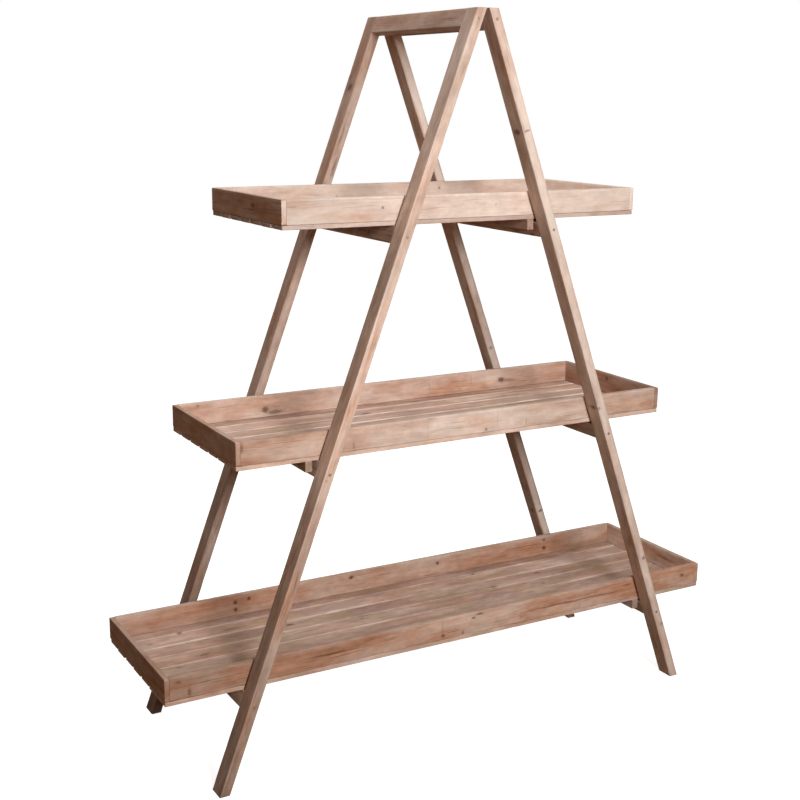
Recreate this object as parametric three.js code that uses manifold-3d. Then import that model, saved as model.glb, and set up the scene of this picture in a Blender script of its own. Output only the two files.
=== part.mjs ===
// Plant ladder stand: a hinged A-frame of two rung ladders that carries three slatted trays.
//
// Units are millimetres, +Z is up, and the origin is on the floor under the middle of the stand.
// +X runs along the trays and -Y is the front. Each ladder is built square in a frame of its own,
// whose origin is the hinge pin and whose Z axis runs up the legs, and is then leaned as a group.

import * as THREE from 'three';
import { mergeVertices } from 'three/addons/utils/BufferGeometryUtils.js';
import Module from 'manifold-3d';

const manifold = await Module();
manifold.setup();

// ---- driving dimensions -------------------------------------------------------------------

// The A-frame.
const STAND_HEIGHT = 1498;     // floor to the level tops of the legs
const LEAN_DEGREES = 20.35;    // each ladder, from upright
const LEG_WIDTH = 40;          // front to back
const LADDER_THICKNESS = 20;   // legs, rungs and rails, measured square to the ladder
const RUNG_HEIGHT = 33;        // measured along the legs
const RAIL_HEIGHT = 36;        // measured along the legs

// The trays. A rim is the top of the boards, above the floor.
const TOP_TRAY_RIM = 1146;
const TOP_TRAY_LENGTH = 825;
const MIDDLE_TRAY_RIM = 697;
const MIDDLE_TRAY_LENGTH = 1025;
const BOTTOM_TRAY_RIM = 250;
const BOTTOM_TRAY_LENGTH = 1335;
const TRAY_DEPTH = 345;        // of all three
const TRAY_BOARD_HEIGHT = 47.5;
const SIDE_BOARD_THICKNESS = 12;
const END_BOARD_THICKNESS = 10;
const SLAT_COUNT = 7;
const SLAT_THICKNESS = 8.5;
const SLAT_GAP = 7;            // between one slat and the next
const CLEAT_WIDTH = 15;
const CLEAT_HEIGHT = 22;

// The two butt hinges between the top rails.
const HINGE_LENGTH = 60;       // along the pin
const HINGE_INSET = 45;        // from the end of the rail to the hinge
const KNUCKLE_RADIUS = 4.6;
const KNUCKLES = 5;
const PIN_RADIUS = 2;
const PIN_HEAD_RADIUS = 3;
const PIN_HEAD_HEIGHT = 1.6;
const PIN_HEAD_DOME = 0.9;     // the domed part of that height
const LEAF_THICKNESS = 2;
const LEAF_DROP = 28;          // from the pin down the face of the rail
const SCREW_SPACING = 21;      // between the screws of a leaf
const SCREW_HOLE_RADIUS = 1.9;
const SCREW_HEAD_RADIUS = 3.4; // of the countersink

// Clearances.
const SEAT_GAP = 0.3;          // between pieces that touch
const TRAY_TO_LEG = 7;         // between the trays and the legs, front and back
const CLEAT_TO_RUNG = 3;
const RUNNING_GAP = 0.3;       // pin in its knuckles, and knuckle to knuckle

// Softened edges.
const LEG_EASE = 1.5;
const BOARD_EASE = 1.2;
const BOARD_CORNER = 3;        // worn corners of the boards, seen on their faces
const LEAF_CORNER = 4;

// How finely rounded edges, corners and metal are faceted.
const LEG_EASE_STEPS = 2;
const BOARD_EASE_STEPS = 1;
const CORNER_STEPS = 1;
const CURL_STEPS = 9;
const LEAF_CORNER_STEPS = 2;
const HOLE_SIDES = 10;
const PIN_SIDES = 16;

// How far a cutter reaches past what it cuts.
const CUT_PAST = 1;

// Corners of a cut piece that lie closer than this are one corner.
const MERGE_WITHIN = 1e-4;

// ---- sizes that follow --------------------------------------------------------------------

const LEAN = THREE.MathUtils.degToRad(LEAN_DEGREES);
const SIN = Math.sin(LEAN);
const COS = Math.cos(LEAN);

// Each ladder's inner face clears the hinge knuckles, and the pin is level with the inner top
// edges of the rails, so the hinges lie in the valley that the two leaning rails make.
const INNER_FACE = KNUCKLE_RADIUS + SEAT_GAP;
const OUTER_FACE = INNER_FACE + LADDER_THICKNESS;
const PIN_HEIGHT = STAND_HEIGHT - LADDER_THICKNESS * SIN;
const RAIL_TOP = ladderHeight(STAND_HEIGHT, OUTER_FACE);

// The cleats of the top and bottom trays stop the ladders from closing, and those of the middle
// tray stop them from spreading.
const TRAYS = [
  { name: 'top', rim: TOP_TRAY_RIM, length: TOP_TRAY_LENGTH, cleats: 'inside' },
  { name: 'middle', rim: MIDDLE_TRAY_RIM, length: MIDDLE_TRAY_LENGTH, cleats: 'outside' },
  { name: 'bottom', rim: BOTTOM_TRAY_RIM, length: BOTTOM_TRAY_LENGTH, cleats: 'inside' },
];

const LEG_INNER_Y = TRAY_DEPTH / 2 + TRAY_TO_LEG;
const RUNG_LENGTH = 2 * (LEG_INNER_Y - SEAT_GAP);
const TRAY_HEIGHT = TRAY_BOARD_HEIGHT + SEAT_GAP + SLAT_THICKNESS;
const SLAT_PITCH = (TRAY_DEPTH + SLAT_GAP) / SLAT_COUNT;

// A tray rests on the outer top edges of its rungs. An eased, leaning edge stands a little lower
// than its sharp corner would, so the rungs are set that much higher.
const EASED_CORNER_DROP = LEG_EASE * (SIN + COS - 1);

// ---- finishes -----------------------------------------------------------------------------

const limedFir = (name, color) => {
  const material = new THREE.MeshStandardMaterial({ color, roughness: 0.8, metalness: 0 });
  material.name = name;
  return material;
};
const LEG_WOOD = limedFir('limed_fir_frame', 0xcfae98);
const BOARD_WOOD = limedFir('limed_fir_boards', 0xd2aa8d);
const SLAT_WOOD = limedFir('weathered_fir_slats', 0xa28a7a);
const HINGE_STEEL = new THREE.MeshStandardMaterial({ color: 0x8f8a82, roughness: 0.45, metalness: 1 });
HINGE_STEEL.name = 'zinc_plated_steel';

// ---- helpers ------------------------------------------------------------------------------

const SIDES = [[-1, 'left'], [1, 'right']];
const ENDS = [[-1, 'front'], [1, 'back']];
const ALONG_TRAY = new THREE.Vector3(1, 0, 0);
const FRONT_TO_BACK = new THREE.Vector3(0, 1, 0);
const UP = new THREE.Vector3(0, 0, 1);

// Height along a ladder of the point that is `across` from the hinge pin, towards the outer
// face, and at `height` above the floor.
function ladderHeight(height, across) {
  return (height - PIN_HEIGHT - across * SIN) / COS;
}

// Distance from the middle of the stand to a ladder's outer face, at a height above the floor.
function outerFaceX(height) {
  return OUTER_FACE * COS - ladderHeight(height, OUTER_FACE) * SIN;
}

// Outline of a board's face, centred on the origin, with worn corners.
function boardOutline(length, width, corner) {
  const x = length / 2;
  const y = width / 2;
  const r = Math.min(corner, x, y);
  const outline = new THREE.Shape();
  outline.moveTo(-x + r, -y);
  outline.lineTo(x - r, -y);
  outline.absarc(x - r, -y + r, r, -Math.PI / 2, 0, false);
  outline.lineTo(x, y - r);
  outline.absarc(x - r, y - r, r, 0, Math.PI / 2, false);
  outline.lineTo(-x + r, y);
  outline.absarc(-x + r, y - r, r, Math.PI / 2, Math.PI, false);
  outline.lineTo(-x, -y + r);
  outline.absarc(-x + r, -y + r, r, Math.PI, 1.5 * Math.PI, false);
  return outline;
}

// An outline made solid, centred on its thickness, with both faces' edges eased.
function easedSolid(outline, thickness, ease, steps) {
  const geometry = new THREE.ExtrudeGeometry(outline, {
    depth: thickness - 2 * ease,
    bevelEnabled: true,
    bevelThickness: ease,
    bevelSize: ease,
    bevelOffset: -ease,
    bevelSegments: steps,
    curveSegments: CORNER_STEPS,
  });
  geometry.translate(0, 0, ease - thickness / 2);
  return geometry;
}

// An outline made solid, centred on its thickness, with sharp edges.
function sharpSolid(outline, thickness, steps) {
  const geometry = new THREE.ExtrudeGeometry(outline, {
    depth: thickness,
    bevelEnabled: false,
    curveSegments: steps,
  });
  geometry.translate(0, 0, -thickness / 2);
  return geometry;
}

// A flat board: its length runs along X, its width along Y and its thickness along Z.
function flatBoard(length, width, thickness) {
  const outline = boardOutline(length, width, BOARD_CORNER);
  return easedSolid(outline, thickness, BOARD_EASE, BOARD_EASE_STEPS);
}

// Stands a flat piece on edge, so that its width points up and its length runs along `axis`.
function onEdge(geometry, axis) {
  const thicknessAxis = new THREE.Vector3().crossVectors(axis, UP);
  return geometry.applyMatrix4(new THREE.Matrix4().makeBasis(axis, UP, thicknessAxis));
}

function named(name, geometry, material) {
  const mesh = new THREE.Mesh(geometry, material);
  mesh.name = name;
  return mesh;
}

function toManifold(geometry) {
  const bare = geometry.clone();
  bare.deleteAttribute('normal');
  bare.deleteAttribute('uv');
  const merged = mergeVertices(bare, MERGE_WITHIN);
  return new manifold.Manifold(new manifold.Mesh({
    numProp: 3,
    vertProperties: new Float32Array(merged.attributes.position.array),
    triVerts: new Uint32Array(merged.index.array),
  }));
}

function fromManifold(solid) {
  const mesh = solid.getMesh();
  const geometry = new THREE.BufferGeometry();
  geometry.setAttribute('position', new THREE.BufferAttribute(mesh.vertProperties, 3));
  geometry.setIndex(new THREE.BufferAttribute(mesh.triVerts, 1));
  geometry.computeVertexNormals();
  return geometry;
}

// ---- ladders ------------------------------------------------------------------------------
// `side` is -1 for the left ladder and +1 for the right. In a ladder's own frame the inner face
// lies at side * INNER_FACE and the outer face at side * OUTER_FACE.

// A leg is cut level at its foot and at its top, so its side view is a slanted parallelogram.
function legGeometry(side) {
  const corners = [
    [INNER_FACE, 0],
    [OUTER_FACE, 0],
    [OUTER_FACE, STAND_HEIGHT],
    [INNER_FACE, STAND_HEIGHT],
  ].map(([across, height]) => new THREE.Vector2(side * across, ladderHeight(height, across)));
  const outline = new THREE.Shape(corners);
  return onEdge(easedSolid(outline, LEG_WIDTH, LEG_EASE, LEG_EASE_STEPS), ALONG_TRAY);
}

function addLegs(ladder, side, sideName) {
  const y = LEG_INNER_Y + LEG_WIDTH / 2;
  for (const [end, place] of ENDS) {
    const leg = named(`leg_${place}_${sideName}`, legGeometry(side), LEG_WOOD);
    leg.position.y = end * y;
    ladder.add(leg);
  }
}

// A cross piece fills the ladder's thickness between the two legs. Its outer top corner is at
// `top`, along the ladder.
function crossPiece(name, side, top, height) {
  const outline = boardOutline(RUNG_LENGTH, height, LEG_EASE);
  const geometry = easedSolid(outline, LADDER_THICKNESS, LEG_EASE, LEG_EASE_STEPS);
  const piece = named(name, onEdge(geometry, FRONT_TO_BACK), LEG_WOOD);
  piece.position.set(side * (INNER_FACE + OUTER_FACE) / 2, 0, top - height / 2);
  return piece;
}

function trayBottom(tray) {
  return tray.rim - TRAY_HEIGHT;
}

function rungTop(tray) {
  return ladderHeight(trayBottom(tray) - SEAT_GAP + EASED_CORNER_DROP, OUTER_FACE);
}

// ---- butt hinges --------------------------------------------------------------------------
// A leaf is a strip curled round the pin at its upper edge. Seen along the pin, the strip's back
// is tangent to the curl and lies on the inner face of the rail.

function leafProfile(side) {
  const back = side * KNUCKLE_RADIUS;
  const front = side * (KNUCKLE_RADIUS - LEAF_THICKNESS);
  const meet = Math.acos(1 - LEAF_THICKNESS / KNUCKLE_RADIUS);
  const profile = new THREE.Shape();
  profile.moveTo(back, -LEAF_DROP);
  profile.lineTo(back, 0);
  if (side > 0) profile.absarc(0, 0, KNUCKLE_RADIUS, 0, 2 * Math.PI - meet, false);
  else profile.absarc(0, 0, KNUCKLE_RADIUS, Math.PI, Math.PI + meet, true);
  profile.lineTo(front, -LEAF_DROP);
  const bore = new THREE.Path();
  bore.absarc(0, 0, PIN_RADIUS + RUNNING_GAP, 0, 2 * Math.PI, false);
  profile.holes.push(bore);
  return profile;
}

function leafBlank(side) {
  const strip = sharpSolid(leafProfile(side), HINGE_LENGTH, CURL_STEPS);
  return toManifold(onEdge(strip, ALONG_TRAY));
}

// The leaf's own outline, as a thick plate that trims the strip's two lower corners round.
function leafTrim() {
  const height = LEAF_DROP + KNUCKLE_RADIUS + LEAF_CORNER + CUT_PAST;
  const outline = boardOutline(HINGE_LENGTH, height, LEAF_CORNER);
  const plate = sharpSolid(outline, 2 * (KNUCKLE_RADIUS + CUT_PAST), LEAF_CORNER_STEPS);
  onEdge(plate, FRONT_TO_BACK).translate(0, 0, height / 2 - LEAF_DROP);
  return toManifold(plate);
}

// The room that the other leaf's knuckle takes, `index` knuckles from the front.
function knuckleNotch(index) {
  const length = HINGE_LENGTH / KNUCKLES;
  const radius = KNUCKLE_RADIUS + RUNNING_GAP;
  const height = 2 * radius;
  const box = new THREE.BoxGeometry(height, length + RUNNING_GAP, height);
  box.translate(0, (index + 0.5) * length - HINGE_LENGTH / 2, 0);
  return toManifold(box);
}

function disc(radiusBack, radiusFront, depth, side) {
  const cylinder = new THREE.CylinderGeometry(radiusBack, radiusFront, depth, HOLE_SIDES);
  return cylinder.rotateZ(-side * Math.PI / 2);
}

// A countersunk hole through the flat of a leaf, halfway down it.
function screwHole(side, along) {
  const drop = -(KNUCKLE_RADIUS + LEAF_DROP) / 2;
  const middle = side * (KNUCKLE_RADIUS - LEAF_THICKNESS / 2);
  const sink = disc(SCREW_HOLE_RADIUS, SCREW_HEAD_RADIUS, LEAF_THICKNESS, side);
  const shank = disc(SCREW_HOLE_RADIUS, SCREW_HOLE_RADIUS, LEAF_THICKNESS + 2 * CUT_PAST, side);
  sink.translate(middle, along, drop);
  shank.translate(middle, along, drop);
  return toManifold(sink).add(toManifold(shank));
}

function leafGeometry(side) {
  let leaf = leafBlank(side).intersect(leafTrim());
  const firstNotch = side < 0 ? 1 : 0;
  for (let index = firstNotch; index < KNUCKLES; index += 2) {
    leaf = leaf.subtract(knuckleNotch(index));
  }
  for (const place of [-1, 0, 1]) {
    leaf = leaf.subtract(screwHole(side, place * SCREW_SPACING));
  }
  return fromManifold(leaf);
}

// The pin has a domed head at each end.
function pinGeometry() {
  const end = HINGE_LENGTH / 2 + RUNNING_GAP;
  const shoulder = end + PIN_HEAD_HEIGHT - PIN_HEAD_DOME;
  const half = [
    [PIN_RADIUS, end],
    [PIN_HEAD_RADIUS, end],
    [PIN_HEAD_RADIUS, shoulder],
    [PIN_HEAD_RADIUS * Math.SQRT1_2, shoulder + PIN_HEAD_DOME * Math.SQRT1_2],
    [0, shoulder + PIN_HEAD_DOME],
  ];
  const upper = half.map(([radius, y]) => new THREE.Vector2(radius, y));
  const lower = half.map(([radius, y]) => new THREE.Vector2(radius, -y)).reverse();
  return new THREE.LatheGeometry([...lower, ...upper], PIN_SIDES);
}

// ---- assembly -----------------------------------------------------------------------------

function hingeY(end) {
  return end * (RUNG_LENGTH / 2 - HINGE_INSET - HINGE_LENGTH / 2);
}

function makeLadder(side, sideName) {
  const ladder = new THREE.Group();
  ladder.position.z = PIN_HEIGHT;
  ladder.rotation.y = -side * LEAN;
  addLegs(ladder, side, sideName);
  ladder.add(crossPiece(`top_rail_${sideName}`, side, RAIL_TOP, RAIL_HEIGHT));
  for (const tray of TRAYS) {
    ladder.add(crossPiece(`rung_${tray.name}_${sideName}`, side, rungTop(tray), RUNG_HEIGHT));
  }
  for (const [end, place] of ENDS) {
    const leaf = named(`hinge_${place}_leaf_${sideName}`, leafGeometry(side), HINGE_STEEL);
    leaf.position.y = hingeY(end);
    ladder.add(leaf);
  }
  return ladder;
}

// Inside a pair of rungs a cleat clears their inner top edges, and outside it clears their outer
// faces at the cleat's own lower edge.
function cleatX(tray) {
  const clear = CLEAT_TO_RUNG + CLEAT_WIDTH / 2;
  if (tray.cleats === 'outside') {
    return outerFaceX(trayBottom(tray) - SEAT_GAP - CLEAT_HEIGHT) + clear;
  }
  return INNER_FACE * COS - rungTop(tray) * SIN - clear;
}

function addSlats(group, tray) {
  const slat = flatBoard(tray.length, SLAT_PITCH - SLAT_GAP, SLAT_THICKNESS);
  for (let index = 0; index < SLAT_COUNT; index += 1) {
    const mesh = named(`${tray.name}_tray_slat_${index + 1}`, slat.clone(), SLAT_WOOD);
    mesh.position.y = (index - (SLAT_COUNT - 1) / 2) * SLAT_PITCH;
    mesh.position.z = SLAT_THICKNESS / 2;
    group.add(mesh);
  }
}

function addBoards(group, tray) {
  const height = SLAT_THICKNESS + SEAT_GAP + TRAY_BOARD_HEIGHT / 2;
  const sideLength = tray.length - 2 * (END_BOARD_THICKNESS + SEAT_GAP);
  for (const [end, place] of ENDS) {
    const geometry = flatBoard(sideLength, TRAY_BOARD_HEIGHT, SIDE_BOARD_THICKNESS);
    const mesh = named(`${tray.name}_tray_board_${place}`, onEdge(geometry, ALONG_TRAY), BOARD_WOOD);
    mesh.position.set(0, end * (TRAY_DEPTH - SIDE_BOARD_THICKNESS) / 2, height);
    group.add(mesh);
  }
  for (const [side, place] of SIDES) {
    const geometry = flatBoard(TRAY_DEPTH, TRAY_BOARD_HEIGHT, END_BOARD_THICKNESS);
    const mesh = named(`${tray.name}_tray_end_${place}`, onEdge(geometry, FRONT_TO_BACK), BOARD_WOOD);
    mesh.position.set(side * (tray.length - END_BOARD_THICKNESS) / 2, 0, height);
    group.add(mesh);
  }
}

function addCleats(group, tray) {
  for (const [side, place] of SIDES) {
    const geometry = flatBoard(TRAY_DEPTH, CLEAT_HEIGHT, CLEAT_WIDTH);
    const mesh = named(`${tray.name}_tray_cleat_${place}`, onEdge(geometry, FRONT_TO_BACK), SLAT_WOOD);
    mesh.position.set(side * cleatX(tray), 0, -SEAT_GAP - CLEAT_HEIGHT / 2);
    group.add(mesh);
  }
}

function makeTray(tray) {
  const group = new THREE.Group();
  group.position.z = trayBottom(tray);
  addBoards(group, tray);
  addSlats(group, tray);
  addCleats(group, tray);
  return group;
}

function makeStand() {
  const stand = new THREE.Group();
  for (const [side, sideName] of SIDES) {
    stand.add(makeLadder(side, sideName));
  }
  for (const [end, place] of ENDS) {
    const pin = named(`hinge_${place}_pin`, pinGeometry(), HINGE_STEEL);
    pin.position.set(0, hingeY(end), PIN_HEIGHT);
    stand.add(pin);
  }
  for (const tray of TRAYS) {
    stand.add(makeTray(tray));
  }
  return stand;
}

export default makeStand();
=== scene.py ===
import math
import random

import bmesh
import bpy
import numpy as np
from mathutils import Matrix, Quaternion, Vector, noise


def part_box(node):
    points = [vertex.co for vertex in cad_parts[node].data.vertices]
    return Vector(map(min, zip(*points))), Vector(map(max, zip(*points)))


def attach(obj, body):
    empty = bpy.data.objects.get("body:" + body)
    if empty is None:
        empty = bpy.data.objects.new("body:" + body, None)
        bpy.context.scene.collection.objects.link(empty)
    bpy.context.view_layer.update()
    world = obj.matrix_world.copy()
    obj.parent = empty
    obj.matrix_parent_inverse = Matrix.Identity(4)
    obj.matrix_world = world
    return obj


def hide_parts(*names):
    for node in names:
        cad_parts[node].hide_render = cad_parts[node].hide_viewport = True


# A plant ladder stand of limed fir: two leaning ladders, three slatted trays and two butt hinges.
# Metres, +Z up, -Y is the front. Every board is sawn here from the size and lean of its CAD node,
# with eased arrises, worn corners and grain that follows the board.

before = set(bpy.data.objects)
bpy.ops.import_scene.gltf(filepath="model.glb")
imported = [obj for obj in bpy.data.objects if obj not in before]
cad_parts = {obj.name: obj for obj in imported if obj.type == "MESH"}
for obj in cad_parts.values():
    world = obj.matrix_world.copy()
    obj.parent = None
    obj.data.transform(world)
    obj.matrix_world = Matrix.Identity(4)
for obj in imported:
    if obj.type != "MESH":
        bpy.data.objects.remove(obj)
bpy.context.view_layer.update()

MM = 0.001

# ---- driving dimensions ----

LEAN = math.radians(20.35)        # of each ladder, from upright
X = Vector((1, 0, 0))
Y = Vector((0, 1, 0))
Z = Vector((0, 0, 1))
SIDES = {"left": -1, "right": 1}
ENDS = {"front": -1, "back": 1}
TRAYS = ("top", "middle", "bottom")
SLATS = 7

# How a board is sawn and worn.
ARRIS = 1.0 * MM                  # the eased long edges
CHIP = 2.2 * MM                   # how much rounder an arris gets where it is chipped
CHIP_FROM = 0.32                  # of the noise along an arris, above which it is chipped
ARRIS_POINTS = 4
STATION = 7 * MM                  # between one cross-section of the mesh and the next
CORNER_STEPS = 5
WIDE_FACE_POINTS = 4
NARROW_FACE_POINTS = 3
DISH = 0.22 * MM                  # how far a sawn face dips between its high spots
END_EASE = 0.3 * MM               # the long sides of the sawn end of a board
LADDER_CORNER = 1.6 * MM          # the rounds at the two ends of a board, by its kind
BOARD_CORNER = 2.0 * MM
END_BOARD_CORNER = 3.0 * MM
CLEAT_CORNER = 1.5 * MM
EDGE_ZONE = 5 * MM                # the handled strip along an arris
SLAT_EDGE_ZONE = 1.5 * MM
ZONE_LIMIT = 0.3                  # of a face's width, for that strip
ARRIS_WASH = 0.3                  # how pale an arris is
SLAT_ARRIS_WASH_AND_HIGHLIGHT = 0.85            # the same for a slat: thick wash, and also a painted highlight on the arrises that show in the gaps between slats
SLAT_OUTER_WASH_AND_HIGHLIGHT = 0.05            # what is left of it on the outer edge of an outermost slat
SHARP_EDGE = math.radians(42)     # between faces that don't shade as one

# The figure of the timber, and the marks put on it one by one.
RING_SPACING = 3.4 * MM
KNOT_SPACING = 62 * MM
KNOTTY = 0.2                      # share of the grain's cells with a knot, in rungs and cleats
WASH_SPREAD = 0.25                # how far a board's share of wash moves the edge of its patches
MARK_LAYERS = 3                   # marks that can lie at one place along a board
MARK_REACH = 2.0                  # of half a mark's length, past which none of it shows
MARK_HEART = (1.25, 0.4)          # where the black of a mark starts and is full, in half marks
MARK_HALO = (MARK_REACH, 0.6)     # the same for the darker wood round it
MARK_WANDER = 1.6 * MM            # how far a crack strays from a straight line
NO_MARK = (9.0, 9.0, 0.0)         # what is stored where no mark is near

# Where each kind of piece starts its own run of random numbers.
LEG_SEED = 11
RAIL_SEED = 31
BOARD_SEED = 51
SLAT_SEED = 91
LEG_SCREW_SEED = 3
LEAF_SCREW_SEED = 9
NAIL_SEED = 20

# The screws and nails.
SCREW_HEAD_RADIUS = 2.4 * MM
SCREW_HEAD_RISE = 0.4 * MM
SCREW_RECESS = 0.9 * MM           # the width of its cross recess
STAIN_WIDTH = 0.8 * MM            # of the darkened wood round a screw
NAIL_STAIN_WIDTH = 0.7 * STAIN_WIDTH
LEAF_SCREW_RADIUS = 3.0 * MM
LEAF_SCREW_RIM = 0.1 * MM
NAIL_HEAD_RADIUS = 1.6 * MM
NAIL_HEAD_RISE = 0.3 * MM
NAIL_SPREAD = 0.24                # of a slat's width or a board's height, from its middle

# The screws of a hinge leaf, measured from the pin in the leaning plane of the ladder.
HINGE_MIDDLE = 104.2 * MM
LEAF_SCREW_PITCH = 21 * MM
LEAF_SCREW_DROP = 16.3 * MM
LEAF_SCREW_ACROSS = 3.0 * MM      # just inside the leaf's face, which is 2.6 mm from the pin


# ---- nodes and colours ----

SMOOTH = {"interpolation_type": "SMOOTHSTEP"}
COLOUR_MIX = {"out": "Result", "data_type": "RGBA"}
VECTOR = {"data_type": "FLOAT_VECTOR"}


def linear(code):
    """A colour written as an sRGB hex value, as the shader's linear colour."""
    channels = [int(code[i:i + 2], 16) / 255 for i in (1, 3, 5)]
    low, slope, shift, power = 0.04045, 12.92, 0.055, 2.4
    return (*(c / slope if c <= low else ((c + shift) / (1 + shift)) ** power for c in channels), 1.0)


def add(tree, kind, inputs=None, out=None, **settings):
    """Adds a node, sets or links its inputs by socket name, and gives the output called out. A
    list of sockets goes into one input that joins them."""
    node = tree.nodes.new(kind)
    for name, value in settings.items():
        setattr(node, name, value)
    for key, value in (inputs or {}).items():
        usable = [socket for socket in node.inputs if socket.enabled]
        socket = usable[key] if isinstance(key, int) else next(s for s in usable if s.name == key)
        for source in value if isinstance(value, list) else [value]:
            if isinstance(source, bpy.types.NodeSocket):
                tree.links.new(source, socket)
            else:
                socket.default_value = source
    shown = [socket for socket in node.outputs if socket.enabled]
    return next((socket for socket in shown if socket.name == out), shown[0] if shown else None)


def new_material(name):
    material = bpy.data.materials.new(name)
    material.use_nodes = True
    material.node_tree.nodes.clear()
    return material, material.node_tree


def surface(tree, inputs):
    """The one shader that a material ends in."""
    shader = add(tree, "ShaderNodeBsdfPrincipled", inputs)
    add(tree, "ShaderNodeOutputMaterial", {"Surface": shader})


def new_object(name, data):
    thing = bpy.data.objects.new(name, data)
    bpy.context.scene.collection.objects.link(thing)
    return thing


# ---- finishes ----

def figure(tree, place, along, across, detail=2.0, roughness=0.55, out="Fac", shown=None,
           blend="LINEAR"):
    """Noise drawn out along the grain. along and across are the real sizes of its streaks, and
    shown is the stretch of its values over which they go from none to full."""
    scaled = add(tree, "ShaderNodeMapping", {
        "Vector": place, "Scale": (1 / along, 1 / across, 1 / across)})
    drawn = add(tree, "ShaderNodeTexNoise", {
        "Vector": scaled, "Scale": 1.0, "Detail": detail, "Roughness": roughness}, out=out)
    if shown is None:
        return drawn
    return add(tree, "ShaderNodeMapRange", {
        "Value": drawn, "From Min": shown[0], "From Max": shown[1]}, interpolation_type=blend)


def placed_marks(tree, ragged):
    """The knots, cracks and stains that mark_timber put in their places: how black each is, and
    how near it lies."""
    found = [0.0, 0.0]
    for layer in range(MARK_LAYERS):
        mark = add(tree, "ShaderNodeAttribute", out="Vector", attribute_name=f"mark_{layer + 1}")
        dark = add(tree, "ShaderNodeSeparateXYZ", {"Vector": mark}, out="Z")
        flat = add(tree, "ShaderNodeVectorMath", {0: mark, 1: (1, 1, 0)}, operation="MULTIPLY")
        away = add(tree, "ShaderNodeVectorMath", {
            0: ragged, 1: (1.1, 1.1, 0), 2: flat}, operation="MULTIPLY_ADD")
        away = add(tree, "ShaderNodeVectorMath", {0: away}, out="Value", operation="LENGTH")
        for part, (low, high) in enumerate((MARK_HEART, MARK_HALO)):
            share = add(tree, "ShaderNodeMapRange", {
                "Value": away, "From Min": low, "From Max": high}, **SMOOTH)
            share = add(tree, "ShaderNodeMath", {0: share, 1: dark}, operation="MULTIPLY")
            found[part] = add(tree, "ShaderNodeMath", {
                0: share, 1: found[part]}, operation="MAXIMUM")
    return found


def knots(tree, grain, ragged, share):
    """Branches that cross the board: the dark heart of each knot, and the grain it pushes aside.
    share is the part of the cells of a Voronoi pattern that hold one."""
    place = add(tree, "ShaderNodeMapping", {
        "Vector": grain, "Scale": (0.7 / KNOT_SPACING, 1 / KNOT_SPACING, 0)})
    place = add(tree, "ShaderNodeVectorMath", {
        0: ragged, 1: (0.15, 0.10, 0.0), 2: place}, operation="MULTIPLY_ADD")
    away = add(tree, "ShaderNodeTexVoronoi", {
        "Vector": place, "Scale": 1.0, "Randomness": 0.9}, out="Distance", voronoi_dimensions="2D")
    cell = add(tree, "ShaderNodeSeparateColor", {"Color": away.node.outputs["Color"]}).node.outputs
    chosen = add(tree, "ShaderNodeMath", {0: cell["Red"], 1: share}, operation="LESS_THAN")
    size = add(tree, "ShaderNodeMapRange", {"Value": cell["Green"], "To Min": 0.045, "To Max": 0.1})
    depth = add(tree, "ShaderNodeMapRange", {"Value": cell["Blue"], "To Min": 0.45, "To Max": 0.9})
    rim, pith, reach = (
        add(tree, "ShaderNodeMath", {0: size, 1: times}, operation="MULTIPLY")
        for times in (1.25, 0.25, 3.6))
    heart = add(tree, "ShaderNodeMapRange", {
        "Value": away, "From Min": rim, "From Max": pith}, **SMOOTH)
    heart = add(tree, "ShaderNodeMath", {0: heart, 1: depth}, operation="MULTIPLY")
    around = add(tree, "ShaderNodeMapRange", {
        "Value": away, "From Min": reach, "From Max": 0.0}, **SMOOTH)
    return [
        add(tree, "ShaderNodeMath", {0: part, 1: chosen}, operation="MULTIPLY")
        for part in (heart, around)]


def late_wood_rings(tree, bent, around):
    """The hard dark side of each growth ring. The rings lie round the heart of the tree, which
    runs along the board's own X axis, and bow out round a knot."""
    across = add(tree, "ShaderNodeVectorMath", {0: bent, 1: (0, 1, 1)}, operation="MULTIPLY")
    radius = add(tree, "ShaderNodeVectorMath", {0: across}, out="Value", operation="LENGTH")
    drift = figure(tree, bent, 420 * MM, 55 * MM, detail=3.0)
    rings = 0.0
    for part, turns in ((radius, 1 / RING_SPACING), (drift, 7.0), (around, 2.6)):
        rings = add(tree, "ShaderNodeMath", {
            0: part, 1: turns, 2: rings}, operation="MULTIPLY_ADD")
    phase = add(tree, "ShaderNodeMath", {0: rings}, operation="FRACT")
    hardest = 0.88
    rise, fall = (
        add(tree, "ShaderNodeMapRange", {
            "Value": phase, "From Min": soft, "From Max": hardest}, **SMOOTH)
        for soft in (0.2, 1.0))
    late_wood = add(tree, "ShaderNodeMath", {0: rise, 1: fall}, operation="MULTIPLY")
    shown = figure(tree, bent, 160 * MM, 24 * MM, shown=(0.42, 0.66))
    return add(tree, "ShaderNodeMath", {0: late_wood, 1: shown}, operation="MULTIPLY")


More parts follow.
